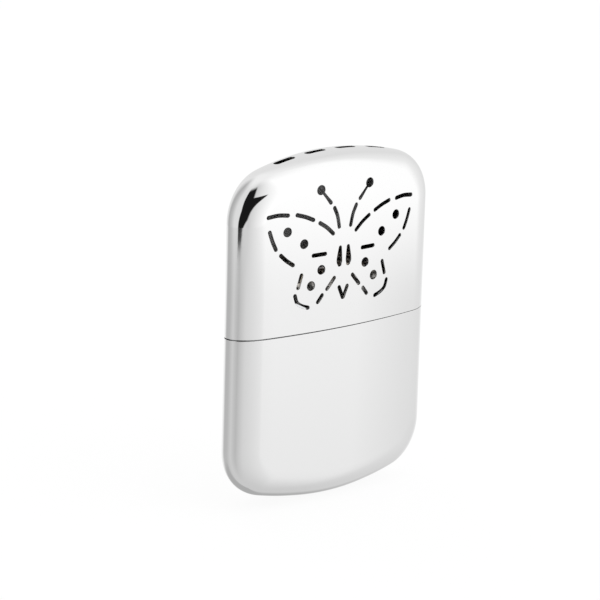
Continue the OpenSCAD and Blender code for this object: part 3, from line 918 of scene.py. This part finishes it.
def hole_rows(count, width, depth, radius, offset, face_z, way):
    """Punches for two rows of round holes along an oval plate, from face_z down, or up if way is -1."""
    pitch = (width - depth) / (count - 1)
    return [
        punch(round_outline(((i - (count - 1) / 2) * pitch, row * offset), radius, 24),
              lambda point, down: Vector((point[0], point[1], face_z - way * down)))
        for row in (-1, 1) for i in range(count)]


screen = stacked(oval_rings(screen_width, screen_depth, (
    (-0.08, 0), (0, 0.08), (0, screen_thick - 0.08), (-0.08, screen_thick)), screen_foot))
face_outwards(screen)
smooth(screen, 30)
cut_out(screen, [hole_rows(9, bore_width, bore_depth, screen_hole, row_offset, screen_top, 1)])
finish_piece(screen, "screen", 25, plate_steel, "tank", "neck_screen")

# ---- Wick and cotton ----
# A pad of pressed felt fills the neck from the screen down. Loose cotton fills the tank below it and holds
# the fuel.
felt_foot, _, felt_width, felt_depth, felt_tall = piece_box("wick_felt")


def roughen(piece, size, strength, level):
    """Uneven surface from clouds of the given size: level 0.5 moves it both ways, and 1 only inwards."""
    clouds = bpy.data.textures.new(piece.name + "_clouds", "CLOUDS")
    clouds.noise_scale = size
    clouds.noise_depth = 2
    apply_modifier(piece, "DISPLACE", texture=clouds, strength=strength, mid_level=level)


def fabric(name, light, dark, thread, depth, sheen):
    """Matt fibre: its colour and its surface vary with tangled threads of the given number in a metre."""
    material, tree, shader = plain_material(name)
    shader.inputs["Roughness"].default_value = 0.95
    shader.inputs["Specular IOR Level"].default_value = 0.2
    shader.inputs["Sheen Weight"].default_value = sheen
    place = add_node(tree, "TexCoord").outputs["Object"]
    tangle = add_node(tree, "TexNoise", {
        "Vector": place, "Scale": thread, "Detail": 6.0, "Distortion": 1.6}).outputs[0]
    patches = add_node(tree, "TexNoise", {
        "Vector": place, "Scale": thread * 0.12, "Detail": 2.0}).outputs[0]
    shade = calculate(tree, "ADD", multiply(tree, fade(tree, tangle, 0.35, 0.65), 0.6),
                      multiply(tree, fade(tree, patches, 0.3, 0.7), 0.4))
    tone = mix_colours(tree, shade, (*dark, 1), (*light, 1))
    tree.links.new(tone, shader.inputs["Base Color"])
    bump = add_node(tree, "Bump", {"Height": tangle, "Strength": 1.0, "Distance": depth})
    tree.links.new(bump.outputs[0], shader.inputs["Normal"])
    return material, tree, shader, place, bump


wick = stacked([
    oval_loop(felt_width + out * 0.002, felt_depth + out * 0.002, felt_foot + up * 0.001, 36, 14)
    for out, up in (
        (-2.1, 0), (-1.2, 0.02), (-0.5, 0.1), (-0.15, 0.35), (-0.02, 0.9), (-0.12, 2.2), (-0.16, 3.6),
        (-0.08, 5.0), (-0.16, 6.4), (-0.12, 7.8), (-0.02, felt_tall - 0.9), (-0.15, felt_tall - 0.35),
        (-0.5, felt_tall - 0.1), (-1.2, felt_tall - 0.02), (-2.1, felt_tall))])
face_outwards(wick)
apply_modifier(wick, "REMESH", mode="VOXEL", voxel_size=0.0004)
roughen(wick, 0.0007, 0.00022, 1)
pressed_felt = fabric("pressed_felt", (0.86, 0.83, 0.76), (0.66, 0.62, 0.53), 2600, 0.00006, 0.3)[0]
finish_piece(wick, "wick", 60, pressed_felt, "tank", "wick_felt")

cotton_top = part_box("cotton_wadding")[1].z
cotton_gap = 0.0003
wad = drawn_shell("wadding", case_height - cotton_top, sheet + cotton_gap)
for vertex in wad.data.vertices:
    vertex.co.z = case_height - vertex.co.z
bpy.ops.object.mode_set(mode="EDIT")
bpy.ops.mesh.select_all(action="DESELECT")
bpy.ops.mesh.select_non_manifold(
    extend=False, use_wire=False, use_multi_face=False, use_non_contiguous=False, use_verts=False)
bpy.ops.mesh.edge_face_add()
bpy.ops.object.mode_set(mode="OBJECT")
face_outwards(wad)
apply_modifier(wad, "REMESH", mode="VOXEL", voxel_size=0.0009)
roughen(wad, 0.004, 0.0012, 1)
roughen(wad, 0.0012, 0.0005, 1)
loose_cotton = fabric("loose_cotton", (0.94, 0.93, 0.90), (0.80, 0.78, 0.73), 1500, 0.0002, 0.4)[0]
finish_piece(wad, "wadding", 180, loose_cotton, "tank", "cotton_wadding")

# ---- Burner skirt and tray ----
# The skirt is a sleeve of stainless sheet with a pressed bead, turned out under the tray and spot welded to
# it. It grips the neck. The tray is a dish with two rows of holes that let the vapour through to the mat.
skirt_foot, _, flare_width, flare_depth, skirt_tall = piece_box("burner_skirt")
burner_sheet = 0.4
skirt_lip = 0.2
skirt_width = flare_width - skirt_lip * 0.002
skirt_depth = flare_depth - skirt_lip * 0.002
straw_heights = (0.0585, 0.0640)
blue_heights = (0.0620, 0.0650)
bead_line = ((0, 2.5), (0.04, 2.65), (0.13, 2.85), (0.17, 3.1), (0.13, 3.35), (0.04, 3.55), (0, 3.7))
skirt_profile = [(-0.4, 0.06), (-0.34, 0), (-0.06, 0), (0, 0.06)]
skirt_profile += bead_line
skirt_profile += [
    (0, skirt_tall - 0.55), (0.03, skirt_tall - 0.45), (0.1, skirt_tall - 0.4), (0.16, skirt_tall - 0.38),
    (0.2, skirt_tall - 0.3), (0.2, skirt_tall - 0.08), (0.12, skirt_tall), (-0.2, skirt_tall),
    (-0.34, skirt_tall - 0.06), (-0.4, skirt_tall - 0.2)]
skirt_profile += [(out - burner_sheet, up) for out, up in reversed(bead_line)]
skirt = closed_band(oval_rings(skirt_width, skirt_depth, skirt_profile, skirt_foot))
stainless, tree, shader, marks, place = metal(
    "stainless_sheet", (0.66, 0.65, 0.63), 0.27, (1400, 1400, 160), 0.12, 0.16, 0.000004)
height = add_node(tree, "SeparateXYZ", {0: place}).outputs["Z"]
cloud = marks.outputs["Cloud"]
straw = multiply(tree, fade(tree, height, *straw_heights), fade(tree, cloud, 0.3, 0.6))
blue = multiply(tree, fade(tree, height, *blue_heights), fade(tree, cloud, 0.5, 0.7))
warm = mix_colours(tree, straw, (0.66, 0.65, 0.63, 1), (0.62, 0.52, 0.38, 1))
tint = mix_colours(tree, blue, warm, (0.42, 0.43, 0.50, 1))
tree.links.new(tint, shader.inputs["Base Color"])
finish_piece(skirt, "skirt", 40, stainless, "burner", "burner_skirt")

tray_foot, _, tray_width, tray_depth, tray_tall = piece_box("burner_tray")
tray = stacked(oval_rings(tray_width, tray_depth, (
    (-0.7, 0), (-0.5, 0), (-0.3, 0.03), (-0.16, 0.11), (-0.06, 0.24), (-0.01, 0.4), (0, 0.55),
    (0, tray_tall - 0.14), (-0.02, tray_tall - 0.06), (-0.07, tray_tall - 0.01), (-0.14, tray_tall),
    (-0.26, tray_tall), (-0.33, tray_tall - 0.01), (-0.38, tray_tall - 0.06), (-0.4, tray_tall - 0.14),
    (-0.4, 0.7), (-0.42, 0.57), (-0.48, 0.46), (-0.58, 0.41), (-0.7, 0.4)), tray_foot))
face_outwards(tray)
tray_hole, tray_offset = 0.0008, 0.0014
cut_out(tray, [hole_rows(9, skirt_width, skirt_depth, tray_hole, tray_offset, tray_foot, -1)])
finish_piece(tray, "tray", 25, stainless, "burner", "burner_tray")

# ---- Gauze and catalyst ----
# A net of woven steel wire lies in the tray. On it stands the catalyst, a folded mat of glass fibre that
# carries the platinum, with a steel strip round its edge.
net_foot, net_top, net_width, net_depth, net_thick = piece_box("burner_gauze")
net_pitch = 0.0019
net_wire = 0.00007
net_middle = (net_foot + net_top) / 2
net_rim = 0.45
net_gap = 0.0002
wire_sides = 6


def wire(start, stop, phase):
    """Round wire between two points of the net that goes over and under the wires across it."""
    way = (stop - start).normalized()
    across = Vector((-way.y, way.x, 0))
    count = max(2, round((stop - start).length / net_pitch * 4))
    loops = []
    for k in range(count + 1):
        point = start.lerp(stop, k / count)
        along = point.dot(way)
        point.z += net_wire * cos(pi * along / net_pitch + phase)
        turns = [2 * pi * i / wire_sides for i in range(wire_sides)]
        loops.append([
            point + across * net_wire * cos(turn) + Vector((0, 0, net_wire * sin(turn))) for turn in turns])
    return stacked(loops)


wires = []
net_reach = (net_width - net_depth) / 2 - net_gap
net_radius = net_depth / 2 - net_gap
for i in range(4):
    y = (i - 1.5) * net_pitch
    end = net_reach + sqrt(net_radius ** 2 - y ** 2)
    wires.append(wire(Vector((-end, y, net_middle)), Vector((end, y, net_middle)), pi * i))
for i in range(19):
    x = (i - 9) * net_pitch
    end = sqrt(net_radius ** 2 - max(abs(x) - net_reach, 0) ** 2)
    wires.append(wire(Vector((x, -end, net_middle)), Vector((x, end, net_middle)), pi * (i + 1.5)))
wires.append(closed_band(oval_rings(net_width, net_depth, (
    (-net_rim, 0.04), (-net_rim, net_thick - 0.04), (-net_rim + 0.04, net_thick), (-0.04, net_thick),
    (0, net_thick - 0.04), (0, 0.04), (-0.04, 0), (-net_rim + 0.04, 0)), net_foot)))
net = join(wires)
wire_steel = metal("wire_steel", (0.50, 0.50, 0.50), 0.36, (1200, 1200, 1200), 0.14, 0.16, 0.000004)[0]
finish_piece(net, "gauze", 50, wire_steel, "burner", "burner_gauze")

strip_foot, _, strip_width, strip_depth, strip_tall = piece_box("catalyst_frame")
strip = closed_band(oval_rings(strip_width, strip_depth, (
    (-0.3, 0.05), (-0.3, strip_tall - 0.08), (-0.26, strip_tall - 0.02), (-0.2, strip_tall),
    (-0.1, strip_tall), (-0.04, strip_tall - 0.02), (0, strip_tall - 0.08), (0, 0.05), (-0.05, 0),
    (-0.25, 0)), strip_foot))
finish_piece(strip, "catalyst_strip", 40, wire_steel, "burner", "catalyst_frame")

mat_foot, mat_top, mat_width, mat_depth, mat_tall = piece_box("catalyst_mat")
fold_pitch = 0.0021
fold_depth = 0.0007
mat = stacked(oval_rings(mat_width, mat_depth, (
    (-0.6, 0), (-0.15, 0.1), (0, 0.4), (-0.02, mat_tall / 2), (0, mat_tall - 0.4), (-0.15, mat_tall - 0.1),
    (-0.6, mat_tall)), mat_foot))
face_outwards(mat)
apply_modifier(mat, "REMESH", mode="VOXEL", voxel_size=0.00028)
for vertex in mat.data.vertices:
    share = (vertex.co.z - mat_foot) / (mat_top - mat_foot)
    fold = 0.5 - 0.5 * cos(2 * pi * vertex.co.x / fold_pitch)
    vertex.co.z -= fold_depth * fold ** 2 * share ** 2
    vertex.co.y *= 1 - 0.04 * fold * share
apply_modifier(mat, "SMOOTH", factor=0.5, iterations=2)
roughen(mat, 0.0005, 0.00012, 1)
glass_fibre, tree, shader, place, bump = fabric(
    "platinum_glass_fibre", (0.36, 0.36, 0.37), (0.17, 0.17, 0.175), 3500, 0.00004, 0.15)
thread_scale = 9000
scaled = add_node(
    tree, "VectorMath", {0: place, 1: (thread_scale, thread_scale, thread_scale)}, operation="MULTIPLY")
weave = add_node(tree, "VectorMath", {0: scaled.outputs[0]}, operation="SINE")
waves = add_node(tree, "SeparateXYZ", {0: weave.outputs[0]}).outputs
threads = calculate(tree, "ADD", multiply(tree, waves["X"], waves["Y"]), waves["Z"])
thread_bump = add_node(tree, "Bump", {
    "Height": threads, "Strength": 0.6, "Distance": 0.00003, "Normal": bump.outputs[0]})
tree.links.new(thread_bump.outputs[0], shader.inputs["Normal"])
finish_piece(mat, "catalyst_folds", 60, glass_fibre, "burner", "catalyst_mat")

# ---- Cage and clips ----
# Stainless cover drawn from one sheet, with rows of windows along its sides and its top that let the air in
# and the heat out. A bent clip at each end holds it down on the tray.
cage_foot, cage_top, cage_width, cage_depth, cage_tall = piece_box("burner_cage")
cage_edge = 0.0017
cage_bar = 0.0013
window_tall = 0.0022
window_count = 9
window_corner = 0.0004
window_pitch = (cage_width - cage_depth) / window_count
window_wide = window_pitch - cage_bar
window_z = cage_top - cage_edge + burner_sheet / 1000 - window_tall / 2


def rounded_outline(centre, width, height, radius, steps):
    """Rectangle with round corners, clockwise from its upper left one."""
    outline = []
    for i, (u, v) in enumerate(((-1, 1), (1, 1), (1, -1), (-1, -1))):
        for k in range(steps + 1):
            turn = pi - pi / 2 * (i + k / steps)
            outline.append((centre[0] + u * (width / 2 - radius) + radius * cos(turn),
                            centre[1] + v * (height / 2 - radius) + radius * sin(turn)))
    return outline


cage = stacked(oval_rings(cage_width, cage_depth, (
    (-1.1, cage_tall - 0.4), (-0.9, cage_tall - 0.4), (-0.71, cage_tall - 0.43), (-0.54, cage_tall - 0.54),
    (-0.43, cage_tall - 0.71), (-0.4, cage_tall - 0.9), (-0.4, cage_tall - 1.1), (-0.4, 0.06), (-0.34, 0),
    (-0.06, 0), (0, 0.06), (0, cage_tall - 1.1), (0, cage_tall - 0.9), (-0.05, cage_tall - 0.6),
    (-0.17, cage_tall - 0.34), (-0.36, cage_tall - 0.14), (-0.6, cage_tall - 0.03), (-0.9, cage_tall),
    (-1.1, cage_tall)), cage_foot))
face_outwards(cage)
windows = []
for i in range(window_count):
    x = (i - (window_count - 1) / 2) * window_pitch
    roof = rounded_outline((x, 0), window_wide, cage_depth - 2 * cage_edge, window_corner, 4)
    windows.append(punch(roof, lambda point, down: Vector((point[0], point[1], cage_top - down))))
    wall = rounded_outline((x, window_z), window_wide, window_tall, window_corner, 4)
    for side in (-1, 1):
        windows.append(punch(wall, lambda point, down, side=side: Vector((
            point[0], side * (cage_depth / 2 - down), point[1]))))
cut_out(cage, [windows])
finish_piece(cage, "cage", 25, stainless, "burner", "burner_cage")

clip_low, clip_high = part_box("burner_clip_right")
clip_sheet = 0.0004
clip_bend = 0.0006
clip_rows = 8
clip_corner = 0.0006
clip_line = []
wall_x = clip_high.x - clip_sheet / 2
for z, way in ((clip_low.z + clip_sheet / 2, 1), (clip_high.z - clip_sheet / 2, -1)):
    arm = [(clip_low.x + (wall_x - clip_bend - clip_low.x) * k / 6, z) for k in range(6)]
    turns = [pi / 2 * k / 6 for k in range(7)]
    bend = [(wall_x - clip_bend + clip_bend * sin(turn), z + way * clip_bend * (1 - cos(turn)))
            for turn in turns]
    clip_line += arm + bend if way > 0 else list(reversed(arm + bend))
clip_columns = len(clip_line) - 1


def clip_die(column, row):
    x, z = clip_line[column]
    inward = min(x - clip_low.x, clip_corner)
    half = (clip_high.y - clip_low.y) / 2
    half += sqrt(clip_corner ** 2 - (clip_corner - inward) ** 2) - clip_corner
    return Vector((x, half * (2 * row / clip_rows - 1), z))


clip = pressed_blank(clip_columns, clip_rows, clip_die)
apply_modifier(clip, "SOLIDIFY", thickness=clip_sheet, offset=0, use_even_offset=True)
apply_modifier(clip, "BEVEL", width=0.00006, segments=2, limit_method="ANGLE", angle_limit=radians(60))
left_clip = mirrored_copy(clip)
finish_piece(clip, "clip_right", 50, stainless, "burner", "burner_clip_right")
finish_piece(left_clip, "clip_left", 50, stainless, "burner", "burner_clip_left")
